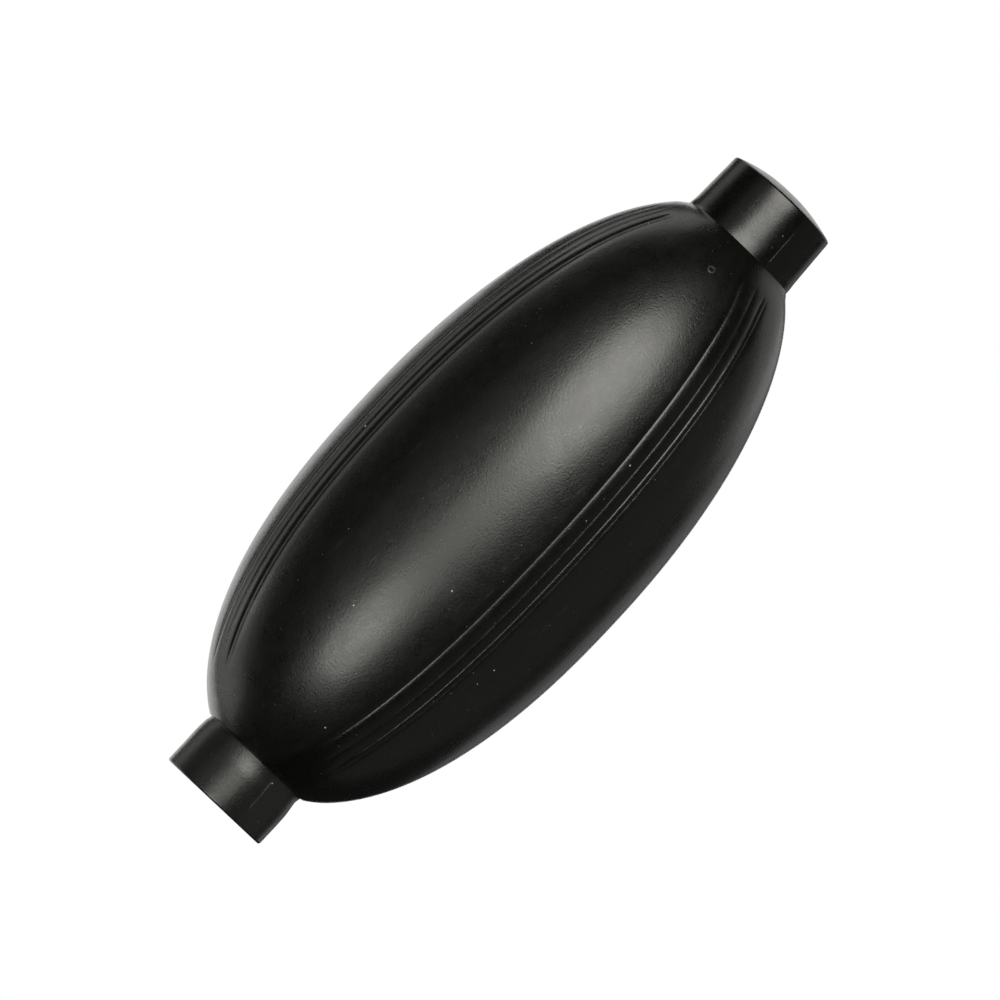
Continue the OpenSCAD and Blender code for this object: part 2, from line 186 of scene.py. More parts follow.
class Graph:
    """Node tree of one material or world."""

    def __init__(self, tree: bpy.types.NodeTree) -> None:
        """Takes a tree over and empties it."""
        self.tree = tree
        self.tree.nodes.clear()

    def node(
        self,
        kind: str,
        settings: dict[str, Any] | None = None,
        inputs: dict[str | int, Any] | None = None,
        output: str | int = 0,
    ) -> Value:
        """Adds a node.

        Args:
            kind: The node's type, without its ShaderNode prefix.
            settings: The node's own properties, set first.
            inputs: Values or links of its input sockets, by name or number.
            output: The output socket to give back, by name or number.

        Returns:
            The output socket, ready for arithmetic.
        """
        made = self.tree.nodes.new("ShaderNode" + kind)
        for name, setting in (settings or {}).items():
            setattr(made, name, setting)
        for name, given in (inputs or {}).items():
            if isinstance(given, Value):
                self.tree.links.new(given.socket, made.inputs[name])
            else:
                made.inputs[name].default_value = given
        outputs = made.outputs
        return Value(self, outputs[output] if len(outputs) else None)

    def place(self) -> Value:
        """Object coordinates, in millimetres."""
        metres = self.node("TexCoord", output="Object")
        return self.vector("MULTIPLY", metres, [1 / MM] * 3)

    def vector(self, operation: str, *terms: Any) -> Value:
        """Adds one Vector Math node.

        Args:
            operation: What the node works out.
            terms: Its vectors.

        Returns:
            The node's vector, or its number where the operation gives one.
        """
        output = "Value" if operation in ("LENGTH", "DISTANCE") else "Vector"
        return self.node("VectorMath", {"operation": operation}, dict(enumerate(terms)), output)

    def noise(self, place: Value, noise: Noise) -> Value:
        """Noise around 0.5.

        Args:
            place: Where to read it, in millimetres.
            noise: How it is made.

        Returns:
            A number from about 0.2 to 0.8.
        """
        inputs = {
            "Vector": self.vector("MULTIPLY", place, noise.stretch),
            "Scale": noise.per_mm,
            "Detail": noise.detail,
            "Roughness": noise.rough,
        }
        return self.node("TexNoise", {"noise_dimensions": "3D"}, inputs, "Fac")

    def scattered(self, place: Value, specks: Specks) -> Value:
        """Scattered round specks.

        Args:
            place: Where to read them, in millimetres.
            specks: How they are scattered.

        Returns:
            1 within the core of a speck, falling to 0 at its edge.
        """
        settings = {"voronoi_dimensions": "3D", "feature": "F1"}
        inputs = {"Vector": place, "Scale": specks.per_mm}
        distance = self.node("TexVoronoi", settings, inputs, "Distance") / specks.per_mm
        colour = self.node("TexVoronoi", settings, inputs, "Color")
        chance = self.node("SeparateColor", None, {0: colour}, "Red")
        return distance.ramp(specks.edge, specks.core) * (chance > 1 - specks.share)

    def mix(self, factor: Value | float, first: Any, second: Any) -> Value:
        """Colour between two, first where the factor is 0."""
        inputs = {0: factor, 6: _opaque(first), 7: _opaque(second)}
        return self.node("Mix", {"data_type": "RGBA"}, inputs, 2)

    def bump(self, height_mm: Value, below: Value | None = None) -> Value:
        """Normal of a raised surface.

        Args:
            height_mm: How far it is raised, in millimetres.
            below: Normal of the surface that is raised, where it isn't the mesh's own.

        Returns:
            The normal.
        """
        inputs: dict[str, Any] = {"Strength": 1.0, "Distance": MM, "Height": height_mm}
        if below:
            inputs["Normal"] = below
        return self.node("Bump", None, inputs, "Normal")

    def finish(self, kind: str, shader: Value) -> None:
        """Links a shader to the tree's output node, of this kind."""
        self.node(kind, None, {"Surface": shader})


def _opaque(colour: Any) -> Any:
    """A plain colour with its alpha; a link stays as it is."""
    return colour if isinstance(colour, Value) else (*colour, 1.0)


def new_material(name: str) -> tuple[bpy.types.Material, Graph]:
    """Makes a material.

    Args:
        name: Its name.

    Returns:
        The material and its empty nodes.
    """
    made = bpy.data.materials.new(name)
    made.use_nodes = True
    return made, Graph(made.node_tree)


# ---------------- finishes


@dataclass(frozen=True)
class Finish:
    """What every finish has: a name, a slot of the record, a colour and a roughness."""

    name: str
    slot: str
    colour: Colour
    roughness: float
    metallic: float = 0.0
    gloss: float = 0.5
    ior: float = 1.5
    sheen: Colour = (1.0, 1.0, 1.0)
    coat: float = 0.0
    coat_roughness: float = 0.1

    def surface(self, graph: Graph, place: Value) -> dict[str, Any]:
        """Inputs of the Principled BSDF that this finish varies.

        Args:
            graph: The material's nodes.
            place: Object coordinates in millimetres.

        Returns:
            Values by the name of their socket.
        """
        raise NotImplementedError

    def material(self) -> bpy.types.Material:
        """Makes the material, the first time that it is asked for.

        Returns:
            The material.
        """
        made = bpy.data.materials.get(self.name)
        if made:
            return made
        made, graph = new_material(self.name)
        plain = {
            "Base Color": (*self.colour, 1.0),
            "Roughness": self.roughness,
            "Metallic": self.metallic,
            "Specular IOR Level": self.gloss,
            "Specular Tint": (*self.sheen, 1.0),
            "IOR": self.ior,
            "Coat Weight": self.coat,
            "Coat Roughness": self.coat_roughness,
        }
        varied = self.surface(graph, graph.place())
        graph.finish("OutputMaterial", graph.node("BsdfPrincipled", None, plain | varied))
        return made

    def dress(self, piece: bpy.types.Object) -> None:
        """Gives a piece this finish.

        Args:
            piece: The piece, whose other materials go.
        """
        piece.data.materials.clear()
        piece.data.materials.append(self.material())


@dataclass(frozen=True)
class MouldedRubber(Finish):
    """Satin black rubber from a mould: grained, mottled and handled, with pale dust, and painted
    light on its inlet neck.
    """

    grain: Noise = Noise(2.4, 4, 0.6)
    grain_rough: float = 0.16
    grain_mm: float = 0.044
    mottle: Noise = Noise(0.45, 4, 0.6)
    mottle_rough: float = 0.14
    mottle_mm: float = 0.014
    smudge: Noise = Noise(0.22, 5, 0.65, (1, 1, 0.4))
    smudge_rough: float = 0.2
    wave: Noise = Noise(0.06, 2, 0.5)
    wave_mm: float = 0.05
    scratch: Noise = Noise(1.6, 3, 0.6, (1, 1, 0.1))
    scratched: Point = (0.6, 0.75)
    handled: Point = (0.48, 0.62)
    scuff: Colour = (0.02, 0.0195, 0.017)
    scuff_mm: float = 0.008
    dust: Colour = (0.4, 0.39, 0.35)
    coarse_dust: Specks = Specks(0.24, 0.2, 0.1, 0.4)
    dust_mm: float = 0.03
    fine_dust: Specks = Specks(0.9, 0.1, 0.05, 0.15)
    fine_tint: float = 0.5
    neck_colour: Colour = (0.0012, 0.0012, 0.0011)
    neck_polish: float = 0.03
    neck_smooth: float = 0.6
    neck_z: Point = (134.8, 136.0)
    # Painted light: the inlet neck below its root is given a lighter colour, as if more light falls
    # on it there.
    inlet_neck_painted_light: Colour = (0.0095, 0.0093, 0.0088)
    inlet_neck_painted_light_z: Point = (11.3, 10.5)
    # Darker colour across the grip groove groups.
    bead_colour: Colour = (0.001, 0.001, 0.0009)
    bead_half: Point = (4.6, 3.4)
    gate: Colour = (-9.12, -15.37, 128.34)
    gate_r: float = 0.6
    gate_w: float = 0.25
    gate_tint: float = 0.09
    gate_mm: float = 0.045

    def surface(self, graph: Graph, place: Value) -> dict[str, Any]:
        """Mottled roughness, dusty and scuffed colour with painted light on the inlet neck, fine
        grain.

        Args:
            graph: The material's nodes.
            place: Object coordinates in millimetres.

        Returns:
            Values by the name of their socket.
        """
        grain, mottle = graph.noise(place, self.grain), graph.noise(place, self.mottle)
        smudge = graph.noise(place, self.smudge)
        worn = graph.noise(place, self.scratch).ramp(*self.scratched) * smudge.ramp(*self.handled)
        speck = graph.scattered(place, self.coarse_dust)
        fine = graph.scattered(place, self.fine_dust)
        away = graph.vector("DISTANCE", place, self.gate)
        inner = away.ramp(self.gate_r - self.gate_w, self.gate_r)
        outer = away.ramp(self.gate_r + self.gate_w, self.gate_r)
        gate = inner * outer
        x, y, z = (graph.node("SeparateXYZ", None, {0: place}, axis) for axis in "XYZ")
        neck, foot = z.ramp(*self.neck_z), z.ramp(*self.inlet_neck_painted_light_z)
        beads = abs(x).lesser(abs(y)).ramp(*self.bead_half)
        colour = graph.mix(worn, self.colour, self.scuff)
        # Darker across the grip groove groups.
        colour = graph.mix(beads, colour, self.bead_colour)
        colour = graph.mix(neck, colour, self.neck_colour)
        # Painted light: the inlet neck is lightened.
        colour = graph.mix(foot, colour, self.inlet_neck_painted_light)
        pale = speck.either(fine * self.fine_tint).either(gate * self.gate_tint)
        roughness = (
            self.roughness
            - neck * self.neck_polish
            + (grain - 0.5) * self.grain_rough
            + (mottle - 0.5) * self.mottle_rough
            + (smudge - 0.5) * self.smudge_rough
        )
        height = (
            grain * (1 - neck * self.neck_smooth) * self.grain_mm
            + mottle * self.mottle_mm
            + speck * self.dust_mm
            + gate * self.gate_mm
            - worn * self.scuff_mm
        )
        wave = graph.bump(graph.noise(place, self.wave) * self.wave_mm)
        return {
            "Base Color": graph.mix(pale, colour, self.dust),
            "Roughness": roughness,
            "Coat Weight": self.coat * (1 - neck),
            "Normal": graph.bump(height, wave),
        }


@dataclass(frozen=True)
class SealRubber(Finish):
    """Matt seal rubber with a fine powdery grain."""

    grain: Noise = Noise(6.0, 4, 0.7)
    grain_rough: float = 0.2
    grain_mm: float = 0.012
    bloom: Colour = (0.07, 0.07, 0.065)
    bloom_patches: Noise = Noise(0.9, 4, 0.6)
    bloomed: Point = (0.5, 0.72)
    bloom_share: float = 0.4

    def surface(self, graph: Graph, place: Value) -> dict[str, Any]:
        """Pale bloom in patches and a fine grain.

        Args:
            graph: The material's nodes.
            place: Object coordinates in millimetres.

        Returns:
            Values by the name of their socket.
        """
        grain = graph.noise(place, self.grain)
        bloom = graph.noise(place, self.bloom_patches).ramp(*self.bloomed) * self.bloom_share
        return {
            "Base Color": graph.mix(bloom, self.colour, self.bloom),
            "Roughness": self.roughness + (grain - 0.5) * self.grain_rough,
            "Normal": graph.bump(grain * self.grain_mm),
        }


@dataclass(frozen=True)
class TurnedMetal(Finish):
    """Metal or plastic off a lathe: fine rings about the pump's axis, and some tarnish."""

    stain: Colour = (0.36, 0.24, 0.1)
    stain_patches: Noise = Noise(0.35, 5, 0.65)
    stained: Point = (0.45, 0.75)
    stain_share: float = 0.35
    stain_rough: float = 0.3
    ring_mm: float = 0.22
    ring_depth_mm: float = 0.004
    wobble: Noise = Noise(0.8, 3)
    wobble_mm: float = 0.35
    wear: Noise = Noise(3.0, 4, 0.6)
    wear_rough: float = 0.14
    wear_mm: float = 0.003

    def surface(self, graph: Graph, place: Value) -> dict[str, Any]:
        """Tool rings, tarnish in patches and fine wear.

        Args:
            graph: The material's nodes.
            place: Object coordinates in millimetres.

        Returns:
            Values by the name of their socket.
        """
        across = graph.vector("LENGTH", graph.vector("MULTIPLY", place, (1, 1, 0)))
        along = graph.node("SeparateXYZ", None, {0: place}, "Z")
        wobble = graph.noise(place, self.wobble) * self.wobble_mm
        turned = (across + along + wobble) * (FULL_TURN / self.ring_mm)
        rings = graph.node("Math", {"operation": "SINE"}, {0: turned})
        stain = graph.noise(place, self.stain_patches).ramp(*self.stained) * self.stain_share
        wear = graph.noise(place, self.wear)
        return {
            "Base Color": graph.mix(stain, self.colour, self.stain),
            "Roughness": self.roughness + stain * self.stain_rough + (wear - 0.5) * self.wear_rough,
            "Normal": graph.bump(rings * self.ring_depth_mm + wear * self.wear_mm),
        }


@dataclass(frozen=True)
class MouldedPlastic(Finish):
    """Moulded plastic with a soft sheen, faint flow marks and small sinks."""

    flow: Colour = (0.66, 0.66, 0.61)
    flow_marks: Noise = Noise(0.7, 5, 0.6, (1, 1, 0.3))
    flowed: Point = (0.4, 0.7)
    flow_share: float = 0.5
    flow_rough: float = 0.05
    texture: Noise = Noise(5.0, 3, 0.6)
    texture_rough: float = 0.16
    texture_mm: float = 0.006
    sink: Noise = Noise(0.4, 1)
    sink_mm: float = 0.05

    def surface(self, graph: Graph, place: Value) -> dict[str, Any]:
        """Flow marks, a fine spark-eroded texture and shallow sinks.

        Args:
            graph: The material's nodes.
            place: Object coordinates in millimetres.

        Returns:
            Values by the name of their socket.
        """
        flow = graph.noise(place, self.flow_marks).ramp(*self.flowed)
        texture, sink = graph.noise(place, self.texture), graph.noise(place, self.sink)
        rough = (texture - 0.5) * self.texture_rough + flow * self.flow_rough
        return {
            "Base Color": graph.mix(flow * self.flow_share, self.colour, self.flow),
            "Roughness": self.roughness + rough,
            "Normal": graph.bump(texture * self.texture_mm + sink * self.sink_mm),
        }


@dataclass(frozen=True)
class PolishedSteel(Finish):
    """Lapped steel with hairline scratches and a faint film."""

    first_lines: Noise = Noise(2.4, 2, stretch=(0.15, 3, 1))
    first_cut: Point = (0.62, 0.68)
    second_lines: Noise = Noise(2.1, 2, stretch=(2, 0.2, 2.5))
    second_cut: Point = (0.63, 0.69)
    line_rough: float = 0.12
    line_mm: float = 0.001
    film: Colour = (0.44, 0.45, 0.48)
    film_patches: Noise = Noise(0.6, 4, 0.6)
    filmed: Point = (0.5, 0.8)
    film_share: float = 0.4
    film_rough: float = 0.15

    def surface(self, graph: Graph, place: Value) -> dict[str, Any]:
        """Crossing hairlines and a film in patches.

        Args:
            graph: The material's nodes.
            place: Object coordinates in millimetres.

        Returns:
            Values by the name of their socket.
        """
        first = graph.noise(place, self.first_lines).ramp(*self.first_cut)
        second = graph.noise(place, self.second_lines).ramp(*self.second_cut)
        hairlines = first.either(second)
        film = graph.noise(place, self.film_patches).ramp(*self.filmed) * self.film_share
        return {
            "Base Color": graph.mix(film, self.colour, self.film),
            "Roughness": self.roughness + hairlines * self.line_rough + film * self.film_rough,
            "Normal": graph.bump(hairlines * -self.line_mm),
        }


@dataclass(frozen=True)
class DrawnSteel(Finish):
    """Drawn or stamped spring steel with die lines and darker heat tint."""

    lines: Noise = Noise(3.0, 3, 0.6, (1, 1, 8))
    line_rough: float = 0.25
    line_mm: float = 0.004
    tint: Colour = (0.3, 0.24, 0.18)
    tint_patches: Noise = Noise(0.5, 4, 0.6)
    tinted: Point = (0.42, 0.7)
    tint_share: float = 0.3
    tint_rough: float = 0.1

    def surface(self, graph: Graph, place: Value) -> dict[str, Any]:
        """Die lines and heat tint.

        Args:
            graph: The material's nodes.
            place: Object coordinates in millimetres.

        Returns:
            Values by the name of their socket.
        """
        lines = graph.noise(place, self.lines)
        tint = graph.noise(place, self.tint_patches).ramp(*self.tinted) * self.tint_share
        return {
            "Base Color": graph.mix(tint, self.colour, self.tint),
            "Roughness": self.roughness + (lines - 0.5) * self.line_rough + tint * self.tint_rough,
            "Normal": graph.bump(lines * self.line_mm),
        }


class Finishes(Enum):
    """The finishes of the pump's pieces."""

    BULB = MouldedRubber(
        "bulb_rubber_black",
        "bulb_rubber",
        (0.003, 0.0029, 0.0025),
        0.3,
        gloss=0.62,
        ior=1.75,
        sheen=(1.0, 0.99, 0.92),
        coat=0.3,
        coat_roughness=0.16,
    )
    BODY = TurnedMetal("valve_brass_turned", "valve_brass", (0.72, 0.53, 0.24), 0.26, 1.0)
    BODY_SEAL = SealRubber("seal_rubber_black", "seal_rubber", (0.02, 0.02, 0.02), 0.62)
    SEAT = TurnedMetal(
        "seat_plastic_natural",
        "seat_plastic",
        (0.78, 0.78, 0.74),
        0.42,
        stain=(0.66, 0.64, 0.55),
        ring_depth_mm=0.006,
    )
    SEAT_SEAL = SealRubber(
        "seat_rubber_brown", "seat_rubber", (0.09, 0.035, 0.02), 0.5, bloom=(0.14, 0.08, 0.05)
    )
    BALL = PolishedSteel("ball_steel_lapped", "ball_steel", (0.62, 0.63, 0.64), 0.1, 1.0)
    SPRING = DrawnSteel("spring_wire_drawn", "spring_steel", (0.5, 0.51, 0.52), 0.26, 1.0)
    GUIDE = MouldedPlastic("guide_plastic_natural", "guide_plastic", (0.82, 0.82, 0.78), 0.4)
    CAP = MouldedPlastic(
        "cap_plastic_grey", "cap_plastic", (0.62, 0.63, 0.6), 0.42, flow=(0.5, 0.5, 0.47)
    )
    RING = DrawnSteel(
        "ring_steel_phosphated",
        "ring_steel",
        (0.28, 0.28, 0.29),
        0.45,
        1.0,
        tint=(0.16, 0.15, 0.14),
        tint_share=0.6,
    )


# ---------------- outlines and meshes


@dataclass
class Outline:
    """Half section of a turned piece: points of radius and height, some of them marked."""

    points: list[Point] = field(default_factory=list)
    corners: dict[int, float] = field(default_factory=dict)

    def to(self, radius: float, height: float, soft: float = 0.0) -> None:
        """Adds a point.

        Args:
            radius: Distance from the axis.
            height: Place along the axis.
            soft: How far either way its corner is rounded.
        """
        if soft:
            self.corners[len(self.points)] = soft
        self.points.append((radius, height))

    def along(self, points: Iterable[Point]) -> None:
        """Adds the points of a curve."""
        self.points.extend(points)

    def rounded(self, steps: int, gap: float) -> list[Point]:
        """The closed outline with its corners rounded and its long edges divided.

        Args:
            steps: Points on each rounding.
            gap: Longest edge that is left undivided.

        Returns:
            The points in order.
        """
        made: list[Vector] = []
        for i, point in enumerate(map(Vector, self.points)):
            reach = self.corners.get(i, 0.0)
            if not reach:
                made.append(point)
                continue
            before = self._walk(i, -1, reach)
            after = self._walk(i, 1, reach)
            while made and (made[-1] - point).length < reach * NEARLY:
                made.pop()
            for k in range(steps + 1):
                t = k / steps
                made.append(before * (1 - t) ** 2 + point * (2 * t * (1 - t)) + after * t * t)
        return self._divided(self._thinned(made), gap)

    def _walk(self, start: int, way: int, reach: float) -> Vector:
        """Walks along the outline from one of its points.

        Args:
            start: Number of the point.
            way: 1 forwards, -1 backwards.
            reach: How far.

        Returns:
            The place that is reached.
        """
        here, i = Vector(self.points[start]), start
        while True:
            i = (i + way) % len(self.points)
            step = Vector(self.points[i]) - here
            if step.length >= reach:
                return here + step.normalized() * reach
            reach -= step.length
            here = Vector(self.points[i])

    @staticmethod
    def _thinned(points: list[Vector]) -> list[Vector]:
        """The points without any that double the one before."""
        return [p for i, p in enumerate(points) if (p - points[i - 1]).length > TINY]

    @staticmethod
    def _divided(points: list[Vector], gap: float) -> list[Point]:
        """Divides the long edges of a closed outline evenly.

        Args:
            points: Its points.
            gap: Longest edge that is left undivided.

        Returns:
            The points with the new ones between.
        """
        made: list[Point] = []
        for i, here in enumerate(points):
            there = points[(i + 1) % len(points)]
            parts = max(1, math.ceil((there - here).length / gap - TINY))
            made += [tuple(here.lerp(there, k / parts)) for k in range(parts)]
        return made


def closed_loop(bm: bmesh.types.BMesh, points: list[Point]) -> list[bmesh.types.BMEdge]:
    """Lays a closed outline in the x-z plane.

    Args:
        bm: The mesh to add it to.
        points: Radius and height of each point.

    Returns:
        Its edges.
    """
    verts = [bm.verts.new((radius, 0, height)) for radius, height in points]
    return [bm.edges.new((verts[i - 1], vert)) for i, vert in enumerate(verts)]


def finished(bm: bmesh.types.BMesh, name: str, sharp_deg: float = 40) -> bpy.types.Object:
    """Turns a bmesh into a shaded object in the scene.

    Args:
        bm: The mesh, which is freed.
        name: Name of the piece.
        sharp_deg: Angle above which an edge is shaded sharp.

    Returns:
        The object, at the origin.
    """
    bmesh.ops.recalc_face_normals(bm, faces=bm.faces)
    mesh = bpy.data.meshes.new(name)
    bm.to_mesh(mesh)
    bm.free()
    mesh.shade_smooth()
    mesh.set_sharp_from_angle(angle=math.radians(sharp_deg))
    piece = bpy.data.objects.new(name, mesh)
    bpy.context.scene.collection.objects.link(piece)
    return piece


# ---------------- the bulb


@dataclass(frozen=True)
class BellyHalf:
    """One half of the belly's outline: a rounded curve from the widest place to a neck.

    The skin swells a little towards the neck: by lip there, and less with each lip_reach.
    """

    reach: float
    fullness: float
    root_r: float
    way: int
    lip: float
    lip_reach: float
    steps: int

    def point(self, turn: float, belly: "Bulb", depth: float) -> Point:
        """Point of the curve.

        Args:
            turn: 0 at the widest place, 1 at the neck.
            belly: The bulb that it belongs to.
            depth: How far inside the outer skin.

        Returns:
            Its radius and height.
        """
        power = self.fullness
        whole = self.reach / (1 - (self.root_r / belly.belly_r) ** power) ** (1 / power)
        last = math.acos((self.root_r / belly.belly_r) ** (power / 2))
        radius = belly.belly_r * math.cos(last * turn) ** (2 / power)
        along = whole * math.sin(last * turn) ** (2 / power)
        normal = Vector(
            (
                (radius / belly.belly_r) ** (power - 1) / belly.belly_r,
                (along / whole) ** (power - 1) / whole,
            )
        ).normalized()
        radius, along = radius - depth * normal.x, along - depth * normal.y
        if not depth:
            radius += self.lip * math.exp((along - self.reach) / self.lip_reach)
        return radius, belly.belly_z + self.way * along


@dataclass(frozen=True)
class Grip:
    """A group of grip grooves: narrow valleys with slightly rounded beads between them."""

    valleys: tuple[Point, ...] = (
        (-2.87 * MM, 0.245 * MM),
        (0.14 * MM, 0.207 * MM),
        (2.56 * MM, 0.36 * MM),
        (3.58 * MM, 0.215 * MM),
    )
    sharp: float = 0.34 * MM
    broad: float = 1.2 * MM
    broad_share: float = 0.4
    steps: tuple[float, ...] = (0.1 * MM, 0.24 * MM, 0.42 * MM, 0.7 * MM, 1.1 * MM, 1.8 * MM)
    low: float = 17.5 * MM
    high: float = 131.7 * MM
    low_runout: float = 8.0 * MM
    high_runout: float = 3.0 * MM

    def columns(self) -> list[float]:
        """Places the mesh's columns, close together at the valleys.

        Returns:
            Their sideways places from the group's middle, in order.
        """
        middles = [middle for middle, _ in self.valleys]
        made = [*middles, 0.0]
        for middle in middles:
            for step in self.steps:
                for place in (middle - step, middle + step):
                    if all(abs(place - other) >= step * NEARLY for other in middles):
                        made.append(place)
        return sorted(made)

    def depth(self, offset: float, height: float) -> float:
        """How deep the skin is sunk.

        Args:
            offset: Sideways place from the group's middle.
            height: Place along the axis.

        Returns:
            The depth, 0 beyond the ends of the grooves.
        """
        rise = min(
            (height - self.low) / self.low_runout, (self.high - height) / self.high_runout, 1.0
        )
        if rise <= 0:
            return 0.0
        total = 0.0
        for middle, deepest in self.valleys:
            away = abs(offset - middle)
            narrow = (1 - self.broad_share) * math.exp(-away / self.sharp)
            total += deepest * (narrow + self.broad_share * math.exp(-away / self.broad))
        return total * math.sin(rise * math.pi / 2)


@dataclass
class Bulb:
    """The rubber moulding: belly, both necks, hose bores, valve sockets and grip grooves."""

    belly_r: float = 29.99 * MM
    belly_z: float = 71.0 * MM
    wall: float = 3.8 * MM
    inlet: BellyHalf = BellyHalf(60.0 * MM, 2.3, 10.75 * MM, -1, 0.5 * MM, 4.0 * MM, 62)
    outlet: BellyHalf = BellyHalf(64.4 * MM, 2.15, 11.75 * MM, 1, 0.2 * MM, 8.0 * MM, 64)
    inside_steps: int = 32
    inlet_neck_r: float = 11.05 * MM
    inlet_waist_l: float = 4.6 * MM
    waist_steps: int = 8
    inlet_root_soft: float = 0.25 * MM
    outlet_neck_r: float = 11.25 * MM
    outlet_neck_l: float = 11.8 * MM
    outlet_root: Point = (0.07 * MM, 0.15 * MM)
    outlet_flare: Point = (-0.13 * MM, 2.1 * MM)
    flare_soft: float = 0.8 * MM
    crown: float = 1.95 * MM
    crown_steps: int = 11
    inlet_rim_soft: float = 0.5 * MM
    outlet_rim_soft: float = 0.35 * MM
    mouth_soft: float = 0.55 * MM
    soft: float = 0.4 * MM
    fine_soft: float = 0.2 * MM
    corner_steps: int = 4
    gap: float = 2.2 * MM
    hose_r: float = 4.0 * MM
    lip_r: float = 2.8 * MM
    inlet_hose_l: float = 10.0 * MM
    outlet_hose_l: float = 11.5 * MM
    lip_t: float = 1.5 * MM
    pocket_r: float = 7.55 * MM
    collar_r: float = 8.75 * MM
    collar_l: float = 2.5 * MM
    socket_r: float = 10.75 * MM
    inlet_socket_z: float = 26.866 * MM
    outlet_valve_z: float = 115.784 * MM
    keeper_r: float = 6.0 * MM
    keeper_t: float = 1.6 * MM
    grip: Grip = Grip()
    groups: int = 4
    between: int = 10
    flash: float = 0.078 * MM
    flash_w: float = 0.16 * MM
    flash_run: float = 1.0 * MM
    lean_deg: float = -29.2
    lean: tuple[Point, ...] = (
        (0.0, -0.24 * MM),
        (5.5 * MM, -0.25 * MM),
        (9.8 * MM, -0.42 * MM),
        (11.2 * MM, -0.1 * MM),
        (13.0 * MM, 0.0),
        (134.4 * MM, 0.0),
        (135.9 * MM, 0.46 * MM),
        (149.2 * MM, 0.28 * MM),
    )

    def build(self) -> bpy.types.Object:
        """Makes the moulding, dresses it and sets it in place of the plain one.

        Returns:
            The moulding.
        """
        outline, skin = self._outline()
        bm = bmesh.new()
        ring = bm.verts.layers.int.new("ring")
        edges = closed_loop(bm, outline)
        for i, vert in enumerate(bm.verts):
            vert[ring] = i
        offsets = self.grip.columns()
        columns = self.groups * self._per_group(offsets)
        bmesh.ops.spin(
            bm,
            geom=[*bm.verts, *edges],
            cent=(0, 0, 0),
            axis=(0, 0, 1),
            angle=FULL_TURN,
            steps=columns,
            use_merge=True,
        )
        bmesh.ops.remove_doubles(bm, verts=bm.verts, dist=TINY)
        for vert in bm.verts:
            column = round(math.atan2(vert.co.y, vert.co.x) / FULL_TURN * columns) % columns
            radius, height = outline[vert[ring]]
            vert.co = self._placed(radius, height, column, offsets, skin[vert[ring]])
        piece = finished(bm, "bulb_moulding")
        Finishes.BULB.value.dress(piece)
        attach(piece, "pump")
        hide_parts("bulb")
        return piece

    def _per_group(self, offsets: list[float]) -> int:
        """Number of columns of a group and the plain stretch after it."""
        return len(offsets) + self.between - 1

    def _placed(
        self, radius: float, height: float, column: int, offsets: list[float], outside: bool
    ) -> Vector:
        """Where a vertex of the spun mesh belongs.

        Args:
            radius: Its distance from the axis.
            height: Its place along the axis.
            column: Its number round the pump.
            offsets: The sideways places of a group's columns.
            outside: Whether it is on the outer skin.

        Returns:
            Its place, with the columns at a group kept parallel and the grooves sunk.
        """
        group, place = divmod(column, self._per_group(offsets))
        spread = max(radius, self.inlet.root_r)
        start = group * FULL_TURN / self.groups - math.pi / 2
        if place < len(offsets):
            offset = offsets[place]
            angle = start + math.asin(offset / spread)
            if outside:
                radius -= self._depth(offset, height, group)
        else:
            first, last = math.asin(offsets[0] / spread), math.asin(offsets[-1] / spread)
            share = (place - len(offsets) + 1) / self.between
            angle = start + last + share * (FULL_TURN / self.groups + first - last)
        spot = Vector((radius * math.cos(angle), radius * math.sin(angle), height))
        return spot + self._leant(radius, height) if outside else spot

    def _leant(self, radius: float, height: float) -> Vector:
        """How far the skin of the necks stands off the axis, none of it at the bores' mouths.

        Args:
            radius: Distance of the place from the axis.
            height: Its place along the axis.

        Returns:
            The shift.
        """
        share = min(max((radius - self.hose_r) / (self.inlet.root_r - self.hose_r), 0.0), 1.0)
        shift = self.lean[0][1]
        for (low, before), (high, after) in zip(self.lean, self.lean[1:]):
            if height >= low:
                part = min((height - low) / (high - low), 1.0)
                shift = before + (after - before) * part
        turn = math.radians(self.lean_deg)
        return Vector((math.cos(turn), math.sin(turn), 0)) * (shift * share)

    def _depth(self, offset: float, height: float, group: int) -> float:
        """How deep the skin is sunk, negative on the parting line's flash.

        Args:
            offset: Sideways place from the group's middle.
            height: Place along the axis.
            group: Number of the group.

        Returns:
            The depth.
        """
        if group % 2 == 0:
            on_neck = self._on_neck(height)
            if on_neck > 0:
                return -self.flash * on_neck * math.exp(-abs(offset) / self.flash_w)
        return self.grip.depth(offset, height)

    def _on_neck(self, height: float) -> float:
        """Whether a height is on the straight part of a neck.

        Args:
            height: Place along the axis.

        Returns:
            1 there, falling to 0 at the ends of either neck.
        """
        root_z = self.belly_z - self.inlet.reach
        neck_z = self.belly_z + self.outlet.reach
        inlet = min(height - self.inlet_rim_soft, root_z - height)
        outlet = min(height - neck_z, neck_z + self.outlet_neck_l - height)
        return min(max(inlet, outlet, 0.0) / self.flash_run, 1.0)

    def _outline(self) -> tuple[list[Point], list[bool]]:
        """The closed half section.

        Returns:
            Its points, and for each whether it is on the outer skin.
        """
        root_z = self.belly_z - self.inlet.reach
        neck_z = self.belly_z + self.outlet.reach
        rim_z = neck_z + self.outlet_neck_l
        top_z = rim_z + self.crown
        crown_r = (self.outlet_neck_r**2 + self.crown**2) / (2 * self.crown)

